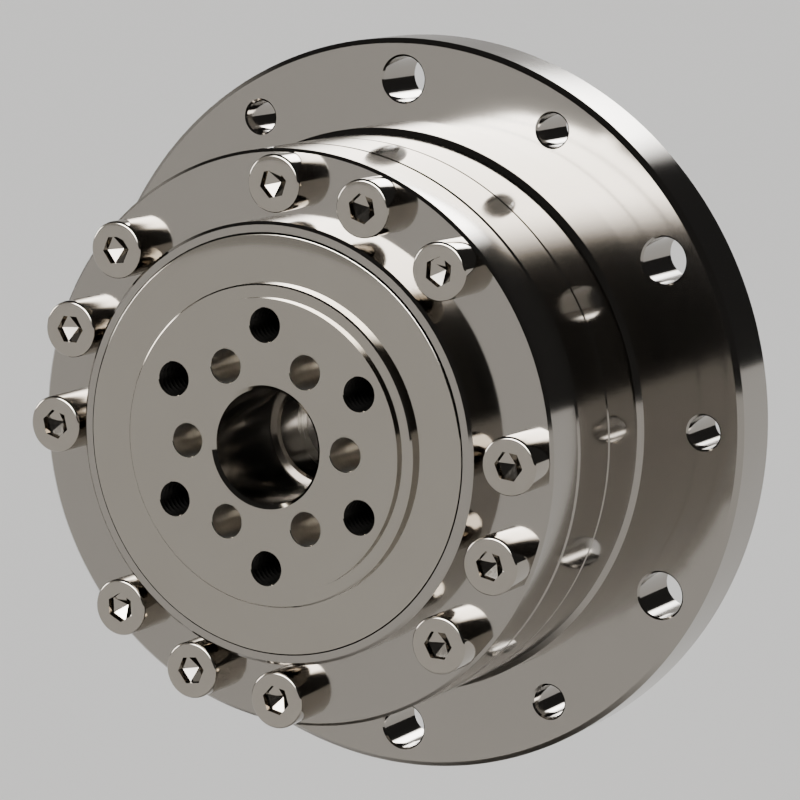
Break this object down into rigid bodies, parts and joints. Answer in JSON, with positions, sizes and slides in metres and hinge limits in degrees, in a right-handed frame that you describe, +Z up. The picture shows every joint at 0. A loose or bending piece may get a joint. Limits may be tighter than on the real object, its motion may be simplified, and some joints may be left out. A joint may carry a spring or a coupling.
{
  "type": "strain wave reducer",
  "caption": "Cup-type strain wave reducer: round mounting flange, cross-roller output hub with stepped face, toothed flexible cup and oval wave generator.",
  "frame": {"origin": "centre of the flange's rear mounting face, on the output axis", "axes": "-Y along the output axis, out of the output hub; +Z up as in the picture; +X to the right seen from the output side"},
  "size_m": [0.073, 0.0335, 0.073],
  "materials": {
    "polished_steel_flange": "mirror polished",
    "polished_steel_rear_ring": "mirror polished",
    "polished_steel_front_ring": "mirror polished",
    "polished_screw_steel": "mirror polished",
    "seal_rubber": "matte",
    "bearing_steel": "ground",
    "spacer_polymer": "matte",
    "polished_steel_hub": "mirror polished",
    "spline_steel": "ground",
    "clamp_steel": "turned",
    "bolt_steel": "black oxide",
    "ball_steel": "polished",
    "cage_polymer": "matte",
    "plug_steel": "turned",
    "coupling_steel": "ground",
    "hub_steel": "turned",
    "spring_steel": "phosphated"
  },
  "bodies": {
    "housing": {"spline_flange": "polished_steel_flange", "bearing_ring_rear": "polished_steel_rear_ring", "bearing_ring_front": "polished_steel_front_ring", "ring_screws": "polished_screw_steel", "ring_seal": "seal_rubber", "shaft_seal": "seal_rubber"},
    "output": {"output_hub": "polished_steel_hub", "flexspline": "spline_steel", "flexspline_clamp": "clamp_steel", "flexspline_bolts": "bolt_steel"},
    "roller_set": {"rollers_forward": "bearing_steel", "rollers_backward": "bearing_steel", "roller_spacers": "spacer_polymer"},
    "wave_generator": {"wave_outer_race": "bearing_steel", "wave_inner_race": "bearing_steel", "wave_balls": "ball_steel", "wave_ball_cage": "cage_polymer", "wave_plug": "plug_steel", "oldham_ring": "coupling_steel", "input_hub": "hub_steel", "hub_snap_ring": "spring_steel"}
  },
  "joints": [
    {"name": "output_spin", "type": "hinge", "parent": "housing", "child": "output", "pos_m": [0, -0.0335, 0], "axis": [0, 1, 0], "continuous": true, "deforming": ["flexspline"]},
    {"name": "roller_orbit", "type": "hinge", "parent": "housing", "child": "roller_set", "pos_m": [0, -0.0233, 0], "axis": [0, 1, 0], "continuous": true},
    {"name": "input_spin", "type": "hinge", "parent": "housing", "child": "wave_generator", "pos_m": [0, -0.004, 0], "axis": [0, 1, 0], "continuous": true, "deforming": ["flexspline"]}
  ],
  "couplings": [
    {"joint": "roller_orbit", "follows": "output_spin", "ratio": 0.5},
    {"joint": "input_spin", "follows": "output_spin", "ratio": -50}
  ]
}
